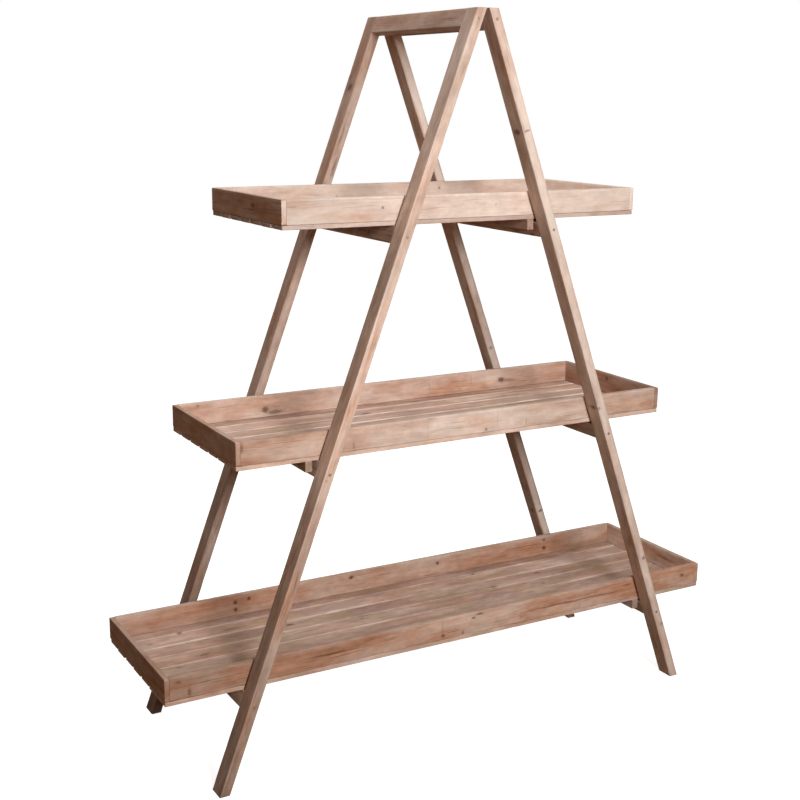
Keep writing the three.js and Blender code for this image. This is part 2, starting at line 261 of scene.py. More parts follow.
def limed_fir(name, early, late, lime, mauve, olive, knot, lime_share):
    """Fir that was sawn rough, brushed with thin lime wash and left outdoors. The wash stays in the
    soft early wood and on the sawn arrises; the pale arrises of the slats are also a painted highlight.
    Sun and rain turned patches of it grey."""
    material, tree = new_material(name)
    grain, board, wear = (
        add(tree, "ShaderNodeAttribute", out="Vector", attribute_name=label)
        for label in ("grain", "board", "wear"))
    tone, washed, aged = add(tree, "ShaderNodeSeparateXYZ", {"Vector": board}).node.outputs
    edge, end, knotty = add(tree, "ShaderNodeSeparateXYZ", {"Vector": wear}).node.outputs
    ragged, bend = (
        add(tree, "ShaderNodeVectorMath", {
            0: figure(tree, grain, along * MM, across * MM, detail=detail, out="Color"),
            1: (0.5, 0.5, 0.5)}, operation="SUBTRACT")
        for along, across, detail in ((9, 5, 2.0), (300, 70, 1.0)))
    heart, around = (
        add(tree, "ShaderNodeMath", {0: grown, 1: placed}, operation="MAXIMUM")
        for grown, placed in zip(knots(tree, grain, ragged, knotty), placed_marks(tree, ragged)))

    # The grain wanders, so everything that follows it is read at a bent place.
    bent = add(tree, "ShaderNodeVectorMath", {
        0: bend, 1: (0, 18 * MM, 18 * MM), 2: grain}, operation="MULTIPLY_ADD")
    late_wood = late_wood_rings(tree, bent, around)
    bands = figure(tree, bent, 220 * MM, 20 * MM, detail=3.0, shown=(0.36, 0.66))
    streaks = figure(tree, bent, 70 * MM, 4.0 * MM, roughness=0.6, shown=(0.34, 0.7))
    fibres = figure(tree, grain, 26 * MM, 0.9 * MM, detail=1.0)
    mottle = figure(tree, grain, 26 * MM, 15 * MM, detail=3.0, roughness=0.65)
    checks = figure(
        tree, bent, 130 * MM, 2.6 * MM, detail=1.0, shown=(0.67, 0.74), blend="SMOOTHSTEP")
    patches = figure(tree, grain, 150 * MM, 44 * MM, detail=3.0, out="Color")
    soaked, rained, hue = add(tree, "ShaderNodeSeparateColor", {"Color": patches}).node.outputs
    limed = add(tree, "ShaderNodeMath", {
        0: washed, 1: WASH_SPREAD, 2: soaked}, operation="MULTIPLY_ADD")
    limed = add(tree, "ShaderNodeMapRange", {
        "Value": limed, "From Min": 0.22 + WASH_SPREAD, "From Max": 0.68 + WASH_SPREAD})
    rained = add(tree, "ShaderNodeMapRange", {
        "Value": rained, "From Min": 0.4, "From Max": 0.62}, **SMOOTH)
    hue = add(tree, "ShaderNodeMapRange", {"Value": hue, "From Min": 0.4, "From Max": 0.6})

    # How much there is of each coat that lies over the bare early wood.
    dark = 0.0
    for part, share in ((late_wood, 0.35), (bands, 0.45), (streaks, 0.26), (around, 0.5)):
        dark = add(tree, "ShaderNodeMath", {
            0: part, 1: share, 2: dark}, operation="MULTIPLY_ADD", use_clamp=True)
    cover = add(tree, "ShaderNodeMath", {0: dark, 1: -0.3, 2: 1.0}, operation="MULTIPLY_ADD")
    for share in (limed, lime_share):
        cover = add(tree, "ShaderNodeMath", {0: cover, 1: share}, operation="MULTIPLY")
    # Paler arrises: wash, and on the slats also a painted highlight along the edges seen between them.
    cover = add(tree, "ShaderNodeMath", {
        0: edge, 1: 0.4, 2: cover}, operation="MULTIPLY_ADD", use_clamp=True)
    grey = add(tree, "ShaderNodeMix", {
        "Factor": hue, "A": linear(mauve), "B": linear(olive)}, **COLOUR_MIX)
    weathered = add(tree, "ShaderNodeMath", {
        0: rained, 1: aged}, operation="MULTIPLY", use_clamp=True)
    filled = add(tree, "ShaderNodeMapRange", {"Value": cover, "To Min": 0.65, "To Max": 0.12})
    split = add(tree, "ShaderNodeMath", {0: checks, 1: filled}, operation="MULTIPLY")
    black = add(tree, "ShaderNodeMath", {0: heart, 1: split}, operation="MAXIMUM")
    sealed = add(tree, "ShaderNodeMath", {0: end, 1: 0.2}, operation="MULTIPLY")
    wood = linear(early)
    for share, coat in (
            (dark, linear(late)), (cover, linear(lime)), (weathered, grey), (black, linear(knot)),
            (sealed, linear(mauve))):
        wood = add(tree, "ShaderNodeMix", {
            "Factor": share, "A": wood, "B": coat}, **COLOUR_MIX)

    # The board's own lightness is mottled, less so under the wash.
    swing = add(tree, "ShaderNodeMapRange", {"Value": cover, "To Min": 0.7, "To Max": 0.4})
    light = add(tree, "ShaderNodeMath", {0: mottle, 1: 0.5}, operation="SUBTRACT")
    light = add(tree, "ShaderNodeMath", {0: light, 1: swing, 2: 0.9}, operation="MULTIPLY_ADD")
    light = add(tree, "ShaderNodeMath", {0: fibres, 1: 0.2, 2: light}, operation="MULTIPLY_ADD")
    # tone is each board's lightness from its look; on the legs it is partly painted light and shade.
    light = add(tree, "ShaderNodeMath", {0: light, 1: tone}, operation="MULTIPLY")
    wood = add(tree, "ShaderNodeVectorMath", {0: wood, "Scale": light}, operation="SCALE")

    height = fibres
    for part, share in ((late_wood, 0.5), (streaks, 0.5), (black, -1.0)):
        height = add(tree, "ShaderNodeMath", {
            0: part, 1: share, 2: height}, operation="MULTIPLY_ADD")
    bump = add(tree, "ShaderNodeBump", {
        "Height": height, "Strength": 0.6, "Distance": 0.35 * MM}, out="Normal")
    rough = add(tree, "ShaderNodeMapRange", {"Value": streaks, "To Min": 0.88, "To Max": 0.72})
    surface(tree, {
        "Base Color": wood, "Roughness": rough, "Normal": bump, "Specular IOR Level": 0.2})
    return material


def zinc_plated_steel(name, colour, dull):
    """Pressed steel with a thin, dull zinc coat: grey, faintly blotched, with fine drawn lines."""
    material, tree = new_material(name)
    place = add(tree, "ShaderNodeTexCoord", out="Object")
    blotch = add(tree, "ShaderNodeTexNoise", {"Vector": place, "Scale": 160.0, "Detail": 3.0})
    lines_place = add(tree, "ShaderNodeMapping", {"Vector": place, "Scale": (3000, 90, 3000)})
    lines = add(tree, "ShaderNodeTexNoise", {"Vector": lines_place, "Scale": 1.0, "Detail": 1.0})
    tint = add(tree, "ShaderNodeMix", {
        "Factor": blotch, "A": linear(colour), "B": linear(dull)}, **COLOUR_MIX)
    rough = add(tree, "ShaderNodeMapRange", {"Value": blotch, "To Min": 0.34, "To Max": 0.58})
    bump = add(tree, "ShaderNodeBump", {
        "Height": lines, "Strength": 0.15, "Distance": 0.05 * MM}, out="Normal")
    surface(tree, {
        "Base Color": tint, "Metallic": 1.0, "Roughness": rough, "Normal": bump})
    return material


def iron_stain(name, dark, pale):
    """Fir blackened round a steel screw or nail, where its tannin met the iron."""
    material, tree = new_material(name)
    place = add(tree, "ShaderNodeTexCoord", out="Object")
    mottle = add(tree, "ShaderNodeTexNoise", {"Vector": place, "Scale": 700.0, "Detail": 2.0})
    tint = add(tree, "ShaderNodeMix", {
        "Factor": mottle, "A": linear(dark), "B": linear(pale)}, **COLOUR_MIX)
    surface(tree, {
        "Base Color": tint, "Roughness": 0.8, "Specular IOR Level": 0.2})
    return material


FIRS = {
    "limed_fir_frame": limed_fir(
        "limed fir legs and rungs", early="#d2a68d", late="#8f634a", lime="#eadace",
        mauve="#a88a80", olive="#a99580", knot="#4e3324", lime_share=0.85),
    "limed_fir_boards": limed_fir(
        "limed fir tray boards", early="#d6a385", late="#a0694b", lime="#ecddd1",
        mauve="#c4a094", olive="#bba287", knot="#573623", lime_share=0.9),
    "weathered_fir_slats": limed_fir(
        "weathered fir slats", early="#c49b85", late="#886152", lime="#e4d4ca",
        mauve="#a08680", olive="#a2906e", knot="#49332a", lime_share=0.7),
}
ZINC = zinc_plated_steel("zinc plated steel", "#c4c2bc", "#98948c")
DULL_STEEL = zinc_plated_steel("weathered steel screws and nails", "#c2ab98", "#937e6c")
STAIN = iron_stain("iron stained fir", "#a07c66", "#bd9a84")


# ---- boards ----

class Board:
    """Where a board lies: its centre, its length, width and thickness, and their directions."""

    def __init__(self, node, along, wide, slant=0.0):
        thick = along.cross(wide)
        points = np.array([v.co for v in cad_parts[node].data.vertices])
        spans = [(points @ np.array(axis)) for axis in (along, wide, thick)]
        low = [span.min() for span in spans]
        high = [span.max() for span in spans]
        middle = [(a + b) / 2 for a, b in zip(low, high)]
        self.centre = along * middle[0] + wide * middle[1] + thick * middle[2]
        self.axes = (along, wide, thick)
        self.width = high[1] - low[1]
        self.thickness = high[2] - low[2]
        self.slant = slant
        self.length = high[0] - low[0] - abs(slant) * self.thickness


def ease_at(along, corner, seed):
    """Radius of one arris at a place along a board: it wanders, and is larger where it is chipped."""
    wander = noise.noise((along * 9, corner * 3.7, seed))
    chip = noise.noise((along * 26, corner * 5.3 + 40, seed))
    return ARRIS * (1.0 + 0.4 * wander) + CHIP * max(0.0, chip - CHIP_FROM) / (1 - CHIP_FROM)


def stations(length, corner):
    """Places of a board's cross-sections, closer together in the rounds of its two ends."""
    half = length / 2
    angles = [k / CORNER_STEPS * math.pi / 2 for k in range(CORNER_STEPS + 1)]
    turn = [half - corner * (1 - math.sin(angle)) for angle in angles]
    count = max(2, round(2 * (half - corner) / STATION))
    inner = [-turn[0] + 2 * turn[0] * k / count for k in range(count + 1)]
    return [-x for x in reversed(turn[1:])] + inner + turn[1:]


def end_inset(past, radius):
    """How far a rounded end has drawn in, `past` the start of its round."""
    reach = min(max(past, 0.0), radius)
    return radius - math.sqrt(max(radius * radius - reach * reach, 0.0))


def section(x, board, corner, zone, seed):
    """One cross-section: the points round it, each with its nearness to an arris, which is None
    on a narrow face."""
    past = abs(x) - board.length / 2
    wide = board.width / 2 - end_inset(past + corner, corner)
    thick = board.thickness / 2 - end_inset(past + END_EASE, END_EASE)
    arcs = []
    for index, (sy, sz) in enumerate(((1, 1), (-1, 1), (-1, -1), (1, -1))):
        radius = min(ease_at(x, index, seed), wide * 0.9, thick * 0.9)
        arc = []
        for step in range(ARRIS_POINTS):
            angle = step / (ARRIS_POINTS - 1) * math.pi / 2
            across = wide - radius * (1 - math.cos(angle))
            up = thick - radius * (1 - math.sin(angle))
            arc.append((sy * across, sz * up, 1.0))
        arcs.append(arc if sy == sz else arc[::-1])
    points = []
    for index, arc in enumerate(arcs):
        points.extend(arc)
        points.extend(face_points(arc[-1], arcs[(index + 1) % 4][0], index % 2 == 0, zone, x, seed))
    return points


def face_points(start, stop, is_wide, zone, x, seed):
    """The points of a face from one arris to the next, dished a little by the saw."""
    span = math.hypot(stop[0] - start[0], stop[1] - start[1])
    rim = min(zone / span, ZONE_LIMIT)
    count = WIDE_FACE_POINTS if is_wide else NARROW_FACE_POINTS
    points = []
    for k in range(count):
        share = rim + (1 - 2 * rim) * k / (count - 1)
        y = start[0] + (stop[0] - start[0]) * share
        z = start[1] + (stop[1] - start[1]) * share
        dip = DISH * (0.5 + 0.5 * noise.noise((x * 14, y * 60, z * 60 + seed)))
        if is_wide:
            points.append((y, z - math.copysign(dip, z), 0.0))
        else:
            points.append((y - math.copysign(dip, y), z, None))
    return points


def look_at(look, share):
    """A board's look at this share of its length."""
    stops = look if isinstance(look, list) else [look, look]
    place = min(max(share, 0.0), 1.0) * (len(stops) - 1)
    before = min(int(place), len(stops) - 2)
    return Vector(stops[before]).lerp(Vector(stops[before + 1]), place - before)


def saw(name, board, seed, look, material, corner, knotty=0.0, side_wash=0.0,
        arris_wash_and_highlight=ARRIS_WASH, end_wash=0.0, zone=EDGE_ZONE):
    """Makes a board as one closed mesh. look is its lightness, its share of wash and its age, or
    a list of these from one end to the other. corner rounds its two ends. knotty is the share of
    its length's cells with a knot. side_wash, arris_wash_and_highlight and end_wash say how pale its narrow
    faces, its arrises and its end grain are, and zone how wide the strip along an arris is."""
    rng = random.Random(seed)
    heart = rng.uniform(0, 2 * math.pi)
    depth = rng.uniform(26, 70) * MM
    tilt = [rng.uniform(-0.012, 0.012) for _ in range(2)]
    start = Vector((rng.uniform(0, 40), depth * math.cos(heart), depth * math.sin(heart)))
    along, wide, thick = board.axes
    bm = bmesh.new()
    grain, wear, looks = (
        bm.verts.layers.float_vector.new(label) for label in ("grain", "wear", "board"))

    def vertex(x, y, z, edge, end):
        shifted = x + board.slant * z
        vert = bm.verts.new(board.centre + along * shifted + wide * y + thick * z)
        vert[grain] = start + Vector((shifted, y + tilt[0] * shifted, z + tilt[1] * shifted))
        vert[wear] = Vector((edge, end, knotty))
        vert[looks] = look_at(look, x / board.length + 0.5)
        return vert

    rings = []
    places = stations(board.length, corner)
    for index, x in enumerate(places):
        end = 1.0 if index in (0, len(places) - 1) else 0.0
        ring = []
        for y, z, edge in section(x, board, corner, zone, seed):
            pale = side_wash if edge is None else edge * arris_wash_and_highlight
            ring.append(vertex(x, y, z, end_wash if end else pale, end))
        rings.append(ring)
    for one, two in zip(rings, rings[1:]):
        for k in range(len(one)):
            after = (k + 1) % len(one)
            bm.faces.new((one[k], two[k], two[after], one[after]))
    for ring, x in ((rings[0], places[0]), (rings[-1], places[-1])):
        hub = vertex(x, 0, 0, end_wash, 1.0)
        for k in range(len(ring)):
            bm.faces.new((ring[k], ring[(k + 1) % len(ring)], hub))
    bmesh.ops.recalc_face_normals(bm, faces=bm.faces)
    mesh = bpy.data.meshes.new(name)
    bm.to_mesh(mesh)
    bm.free()
    mesh.polygons.foreach_set("use_smooth", [True] * len(mesh.polygons))
    mesh.set_sharp_from_angle(angle=SHARP_EDGE)
    if material is not None:
        mesh.materials.append(material)
    return new_object(name, mesh)


# ---- knots, cracks and stains ----

class Mark:
    """A knot, crack or stain that goes square through a board: its middle, the directions along
    and across it, half its length and height in millimetres, and how dark it is."""

    def __init__(self, place, along, across, half_long, half_high, dark, row=0):
        self.place = np.array(place)
        self.along = np.array(along)
        self.across = np.array(across)
        self.at = float(self.place @ self.along)
        self.half_long = half_long * MM
        self.half_high = half_high * MM
        self.dark = dark
        self.row = row

    def clears(self, other):
        """Whether the faces that show this mark and another one have a station between them."""
        reach = MARK_REACH * (self.half_long + other.half_long) + 2 * STATION
        return self.row != other.row or abs(self.at - other.at) > reach


def dealt(marks):
    """Deals marks out to layers, so that no two of one layer lie at one place along the board."""
    layers = [[] for _ in range(MARK_LAYERS)]
    for mark in sorted(marks, key=lambda m: -m.half_long):
        free = [layer for layer in layers if all(mark.clears(other) for other in layer)]
        if not free:
            raise ValueError("more than MARK_LAYERS marks lie at one place along a board")
        free[0].append(mark)
    return layers


def mark_timber(piece, marks, rows=None):
    """Stores how far each point of a piece lies from the mark next to it, in halves of the
    mark's size, and how dark the mark is. rows numbers the points of a row of slats."""
    mesh = piece.data
    points = np.array([v.co for v in mesh.vertices])
    rows = np.zeros(len(points)) if rows is None else rows
    for index, layer in enumerate(dealt(marks)):
        values = np.tile(NO_MARK, (len(points), 1))
        nearest = np.full(len(points), np.inf)
        for mark in layer:
            along = (points - mark.place) @ mark.along
            across = (points - mark.place) @ mark.across
            stray = [
                MARK_WANDER * noise.noise((a * 28, mark.at * 50, mark.half_high * 900))
                for a in along]
            shown = np.where(np.abs(along) < MARK_REACH * mark.half_long, mark.dark, 0.0)
            seen = np.stack((along / mark.half_long, (across + stray) / mark.half_high, shown), axis=1)
            closer = (np.abs(along) < nearest) & (rows == mark.row)
            nearest[closer] = np.abs(along[closer])
            values[closer] = seen[closer]
        attribute = mesh.attributes.new(f"mark_{index + 1}", "FLOAT_VECTOR", "POINT")
        attribute.data.foreach_set("vector", np.clip(values, -9, 9).ravel())


def marks_from(origin, along, across, measures, pitch=math.inf):
    """Marks given in millimetres along and across a piece from origin, then half their length
    and height, and how dark they are. pitch is the step from one row of slats to the next."""
    return [
        Mark(origin + along * x * MM + across * y * MM, along, across, *size, round(y * MM / pitch))
        for x, y, *size in measures]


# ---- ladders ----

def ladder_axes(side):
    """Up the legs of a leaning ladder, and square out of its outer face."""
    up = Vector((-side * math.sin(LEAN), 0, math.cos(LEAN)))
    out = Vector((side * math.cos(LEAN), 0, math.sin(LEAN)))
    return up, out


def stand_for(piece, body, slot, *nodes):
    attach(piece, body)
    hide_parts(*nodes)


def fit_board(node, board, seed, look, slot, body, marks=(), **how):
    """Saws a board with its marks and lets it stand for its CAD node."""
    piece = saw(f"sawn_{node}", board, seed, look, FIRS[slot], **how)
    mark_timber(piece, marks)
    stand_for(piece, body, slot, node)


# Lightness, wash and age of each leg at five places from its foot to its top, and how much paler its
# narrow front and back are. The lightness is fitted to how bright each leg looks, so it is partly
# painted light and shade: the left legs darken towards their feet, and the back right foot, which
# stands in shade, is lifted.
LEG_LOOKS_AND_PAINTED_LIGHT = {
    "leg_front_left": [
        (0.6, 0.8, 0.5), (0.82, 0.5, 0.4), (1.12, 0.9, 0.3), (1.0, 0.9, 0.3), (0.95, 0.9, 0.2)],
    "leg_back_left": [
        (0.38, 0.2, 0.3), (0.62, 0.2, 0.3), (0.86, 0.3, 0.3), (0.83, 0.4, 0.2), (0.8, 0.3, 0.1)],
    "leg_front_right": [
        (0.92, 0.9, 0.3), (0.93, 0.9, 0.3), (0.97, 1.2, 0.2), (0.99, 1.0, 0.2), (0.98, 1.0, 0.1)],
    "leg_back_right": [
        (1.3, 1.0, 0.4), (0.72, 0.6, 0.3), (0.8, 0.9, 0.3), (1.05, 0.8, 0.2), (1.17, 0.6, 0.1)],
}
LEG_FRONT_WASH = {
    "leg_front_left": -0.05, "leg_back_left": 0.5, "leg_front_right": 0.9, "leg_back_right": 1.4}
RAIL_LOOKS = {
    "top_rail": (0.85, 0.4, 0.25), "rung_top": (0.8, 0.4, 0.3), "rung_middle": (0.8, 0.4, 0.3),
    "rung_bottom": (0.8, 0.4, 0.3)}

# Marks on the legs: millimetres up from the foot and across from the middle of the face, half
# the length and height, and how dark. Those on the front go through to the back.
LEG_FRONT_MARKS = {
    "leg_front_left": [(186, -1, 6, 3, 0.35), (650, 3, 3, 3, 0.3)],
    "leg_back_left": [(440, 0, 22, 3, 0.3), (1262, -3, 22, 3, 0.45), (1330, 2, 30, 2.5, 0.4)],
    "leg_front_right": [
        (150, 5, 4, 5, 0.4), (335, 4, 6, 5, 0.55), (730, -6, 4, 4, 0.5), (1353, 0, 3, 7, 0.5)],
    "leg_back_right": [(333, 2, 4, 8, 0.7), (797, 0, 5, 5, 0.5), (925, 2, 12, 3, 0.35)],
}
LEG_SIDE_MARKS = {
    "leg_front_left": [(490, -2, 26, 3, 0.35)],
    "leg_back_left": [(1436, -2, 9, 9, 0.7)],
    "leg_front_right": [(730, -2, 6, 9, 0.65), (1353, 2, 6, 10, 0.65)],
    "leg_back_right": [(678, -4, 14, 4, 0.4), (333, 0, 6, 8, 0.5)],
}


def make_legs():
    for index, (node, looks) in enumerate(LEG_LOOKS_AND_PAINTED_LIGHT.items()):
        up, out = ladder_axes(SIDES[node.rsplit("_", 1)[1]])
        slant = -math.tan(LEAN) * math.copysign(1, out.dot(up.cross(Y)))
        board = Board(node, up, Y, slant)
        foot = board.centre - up * board.length / 2
        marks = (marks_from(foot, up, out, LEG_FRONT_MARKS[node])
                 + marks_from(foot, up, Y, LEG_SIDE_MARKS[node]))
        fit_board(node, board, LEG_SEED + index, looks, "limed_fir_frame", "frame", marks,
                  corner=LADDER_CORNER, side_wash=LEG_FRONT_WASH[node])


def make_cross_pieces():
    seed = RAIL_SEED
    for side_name, side in SIDES.items():
        up, _ = ladder_axes(side)
        for kind, look in RAIL_LOOKS.items():
            node = f"{kind}_{side_name}"
            fit_board(node, Board(node, Y, up), seed, look, "limed_fir_frame", "frame",
                      corner=LADDER_CORNER, knotty=KNOTTY)
            seed += 1


# ---- trays ----

# Lightness, wash and age of a tray's pieces, and how pale the narrow faces of its slats and the
# rims and end grain of its boards are. A list runs from the left end of a board to its right end.
TRAY_LOOKS = {
    "top": {
        "front": [(0.82, 1.3, 0.1), (0.97, 2.0, 0.1), (0.94, 1.7, 0.1)], "back": (0.88, 1.5, 0.1),
        "left": (0.93, 0.4, 0.2), "right": (1.05, 1.6, 0.1), "slats": (1.02, 1.4, 0.3),
        "slat_sides": 1.0, "rims": 0.4, "end_grain": 1.3},
    "middle": {
        "front": [(0.8, 0.3, 0.15), (0.96, 1.4, 0.2), (0.83, 0.4, 0.15)], "back": (0.91, 0.8, 0.2),
        "left": (0.78, 0.2, 0.2), "right": (0.62, 0.2, 0.2), "slats": (1.19, 0.9, 0.45),
        "slat_sides": 0.05, "rims": 1.2, "end_grain": 0.1},
    "bottom": {
        "front": [(0.59, 0.1, 0.1), (0.83, 0.3, 0.1), (0.89, 0.25, 0.1)], "back": (0.81, 0.4, 0.2),
        "left": (0.64, 0.1, 0.2), "right": (0.85, 0.6, 0.3), "slats": (1.07, 0.6, 0.6),
        "slat_sides": 0.0, "rims": 0.8, "end_grain": 0.0},
}
CLEAT_LOOK = (0.9, 0.6, 0.4)

# Marks on the tray boards: millimetres along and up from the middle of the face, half the length
# and height, and how dark. The slats' are along and back from the middle of the tray.
BOARD_MARKS = {
    "top_tray_board_front": [(-200, 2, 3, 3, 0.65), (60, -1, 2, 2, 0.3), (-215, 19, 190, 0.8, 0.2)],
    "top_tray_board_back": [(128, 10, 4, 3.5, 0.55), (-130, -1, 2.5, 2, 0.4)],
    "top_tray_end_left": [(-40, 2, 8, 4, 0.6)],
    "middle_tray_board_front": [
        (-500, 10, 3, 10, 0.45), (-262, -14, 2.5, 9, 0.3), (-92, -4, 1.5, 18, 0.2),
        (-85, 21, 12, 2.5, 0.3), (50, -18, 4, 3.5, 0.5), (78, 2, 1.5, 18, 0.2),
        (152, -14, 2, 8, 0.3), (405, -21, 30, 2, 0.3)],
    "middle_tray_board_back": [
        (-460, 18, 3, 3, 0.4), (-305, -8, 8, 8, 0.7), (-282, -15, 20, 4.5, 0.6),
        (110, 5, 1.5, 12, 0.25), (225, 6, 1.5, 14, 0.25), (310, -3, 10, 7, 0.75),
        (332, -6, 18, 4, 0.35)],
    "middle_tray_end_right": [(0, 12, 5, 4, 0.6)],
    "bottom_tray_board_front": [
        (-618, -12, 4, 9, 0.45), (-640, 14, 7, 4, 0.4), (-585, 2, 78, 0.9, 0.35),
        (-310, 2, 46, 2.3, 0.6), (-48, 1, 2, 20, 0.3), (-47, -14, 5, 4.5, 0.6),
        (3, -17, 3, 4.5, 0.6), (30, 11, 6, 3, 0.65), (46, 17, 10, 2.2, 0.65),
        (155, -10, 1.6, 11, 0.3), (312, -1.5, 162, 2.3, 0.5), (316, -9, 1.6, 7, 0.35),
        (450, 8, 15, 3, 0.4), (618, 2, 6, 4, 0.65), (640, 1, 20, 1, 0.4)],
    "bottom_tray_board_back": [
        (-385, 7, 5, 4.5, 0.8), (-384, -10, 4.5, 4.5, 0.8), (-352, 10, 4.5, 4, 0.75),
        (-95, 13, 6, 4.5, 0.8), (140, 7, 5, 4, 0.75), (455, 14, 4.5, 3.5, 0.65),
        (456, -7, 5.5, 5, 0.85)],
    "bottom_tray_end_right": [(-70, 2, 40, 4, 0.4)],
}
SLAT_MARKS = {
    "top": [],
    "middle": [(-97, 88, 14, 6, 0.6), (65, 140, 8, 4, 0.5)],
    "bottom": [
        (-603, 102, 7, 4, 0.4), (-588, -34, 7, 3, 0.5), (-528, 129, 6, 3, 0.6),
        (-520, 0, 11, 5, 0.5), (-300, 58, 12, 5, 0.65), (-145, 12, 4, 2.5, 0.6),
        (218, 34, 11, 5, 0.55), (222, 128, 8, 3, 0.5), (338, -3, 6, 3, 0.5),
        (364, 60, 11, 5, 0.5), (495, -26, 12, 3, 0.45), (-420, 96, 30, 5, 0.3)],
}


def make_boards(tray, seed):
    """The side boards, end boards and cleats of a tray."""
    looks = TRAY_LOOKS[tray]
    boards = [
        (f"board_{place}", X, looks[place], "limed_fir_boards", {
            "corner": BOARD_CORNER, "side_wash": looks["rims"]})
        for place in ENDS]
    for place in SIDES:
        boards.append((f"end_{place}", Y, looks[place], "limed_fir_boards", {
            "corner": END_BOARD_CORNER, "side_wash": 0.5 * looks["rims"],
            "end_wash": looks["end_grain"]}))
        boards.append((f"cleat_{place}", Y, CLEAT_LOOK, "weathered_fir_slats", {
            "corner": CLEAT_CORNER, "knotty": KNOTTY}))
    for order, (kind, along, look, slot, how) in enumerate(boards):
        node = f"{tray}_tray_{kind}"
        board = Board(node, along, Z)
        marks = marks_from(board.centre, along, Z, BOARD_MARKS.get(node, []))
        fit_board(node, board, seed + order, look, slot, f"{tray}_tray", marks, **how)


# ---- geometry node trees ----

SOCKETS = {int: "NodeSocketInt", float: "NodeSocketFloat", type(None): "NodeSocketMaterial"}


def new_tree(name, inputs):
    """An empty geometry node tree with these named inputs and their values, None for a material."""
    tree = bpy.data.node_groups.new(name, "GeometryNodeTree")
    tree.interface.new_socket("Geometry", in_out="INPUT", socket_type="NodeSocketGeometry")
    tree.interface.new_socket("Geometry", in_out="OUTPUT", socket_type="NodeSocketGeometry")
    for label, value in inputs.items():
        kind = SOCKETS[type(value)]
        socket = tree.interface.new_socket(label, in_out="INPUT", socket_type=kind)
        if value is not None:
            socket.default_value = value
    return tree, add(tree, "NodeGroupInput").node.outputs


def grow(piece, tree, values):
    """Runs a geometry node tree on a piece, turns the result into its plain mesh and drops the tree."""
    modifier = piece.modifiers.new(tree.name, "NODES")
    modifier.node_group = tree
    for item in tree.interface.items_tree:
        if item.in_out == "INPUT" and item.name in values:
            modifier[item.identifier] = values[item.name]
    graph = bpy.context.evaluated_depsgraph_get()
    mesh = bpy.data.meshes.new_from_object(
        piece.evaluated_get(graph), preserve_all_data_layers=True, depsgraph=graph)
    piece.modifiers.remove(modifier)
    mesh.name = piece.name
    piece.data = mesh
    return piece


def slat_row_tree():
    """Lays copies of one slat side by side. Each is turned end for end or over at random, is
    shortened a little, and takes its own stretch of grain and its own lightness."""
    tree, given = new_tree("slat row", {
        "Count": SLATS, "Pitch": 50 * MM, "Height Spread": 0.4 * MM, "Shortest": 0.997,
        "Light Spread": 0.08, "Seed": SLAT_SEED, "Material": None})
    darkest = add(tree, "ShaderNodeMath", {0: given["Light Spread"], 1: -1.0}, operation="MULTIPLY")
    dip, shift, light, turns, long = (
        add(tree, "FunctionNodeRandomValue", {"Min": low, "Max": high, "Seed": given["Seed"]},
            out="Value", data_type=kind)
        for kind, low, high in (
            ("FLOAT", 0.0, given["Height Spread"]),
            ("FLOAT_VECTOR", (0, -0.02, -0.01), (30, 0.02, 0.01)),
            ("FLOAT", darkest, given["Light Spread"]),
            ("FLOAT_VECTOR", (0, 0, 0), (1.999, 0, 1.999)),
            ("FLOAT", given["Shortest"], 1.0)))
    step = add(tree, "ShaderNodeCombineXYZ", {"Y": given["Pitch"]})
    gaps = add(tree, "ShaderNodeMath", {0: given["Count"], 1: 1.0}, operation="SUBTRACT")
    back = add(tree, "ShaderNodeMath", {0: gaps, 1: -0.5}, operation="MULTIPLY")
    first = add(tree, "ShaderNodeVectorMath", {0: step, "Scale": back}, operation="SCALE")
    line = add(tree, "GeometryNodeMeshLine", {
        "Count": given["Count"], "Start Location": first, "Offset": step}, mode="OFFSET")
    dip = add(tree, "ShaderNodeMath", {0: dip, 1: -1.0}, operation="MULTIPLY")
    lower = add(tree, "ShaderNodeCombineXYZ", {"Z": dip})
    line = add(tree, "GeometryNodeSetPosition", {"Geometry": line, "Offset": lower})
    lift = add(tree, "ShaderNodeCombineXYZ", {"X": light})
    for label, value in (("shift", shift), ("lift", lift)):
        line = add(tree, "GeometryNodeStoreNamedAttribute", {
            "Geometry": line, "Name": label, "Value": value}, **VECTOR, domain="POINT")
    turns = add(tree, "ShaderNodeVectorMath", {0: turns}, operation="FLOOR")
    turns = add(tree, "ShaderNodeVectorMath", {0: turns, "Scale": math.pi}, operation="SCALE")
    turned = add(tree, "FunctionNodeEulerToRotation", {"Euler": turns})
    stretch = add(tree, "ShaderNodeCombineXYZ", {"X": long, "Y": 1.0, "Z": 1.0})
    row = add(tree, "GeometryNodeInstanceOnPoints", {
        "Points": line, "Instance": given["Geometry"], "Rotation": turned, "Scale": stretch})
    row = add(tree, "GeometryNodeRealizeInstances", {"Geometry": row})
    for label, change in (("grain", "shift"), ("board", "lift")):
        old, own = (
            add(tree, "GeometryNodeInputNamedAttribute", {"Name": stored}, **VECTOR)
            for stored in (label, change))
        moved = add(tree, "ShaderNodeVectorMath", {0: old, 1: own}, operation="ADD")
        row = add(tree, "GeometryNodeStoreNamedAttribute", {
            "Geometry": row, "Name": label, "Value": moved}, **VECTOR, domain="POINT")
    row = add(tree, "GeometryNodeSetMaterial", {"Geometry": row, "Material": given["Material"]})
    add(tree, "NodeGroupOutput", {"Geometry": row})
    return tree


def hide_outer_wash_and_highlight(row, middle, reach):
    """Takes most of the pale arris off the outer edges of the first and the last slat: its wash, which
    hands rub, and its painted highlight.
    """
    wear = row.data.attributes["wear"]
    for vert, worn in zip(row.data.vertices, wear.data):
        if abs(vert.co.y - middle) > reach:
            edge, end, knotty = worn.vector
            worn.vector = (edge * SLAT_OUTER_WASH_AND_HIGHLIGHT, end, knotty)


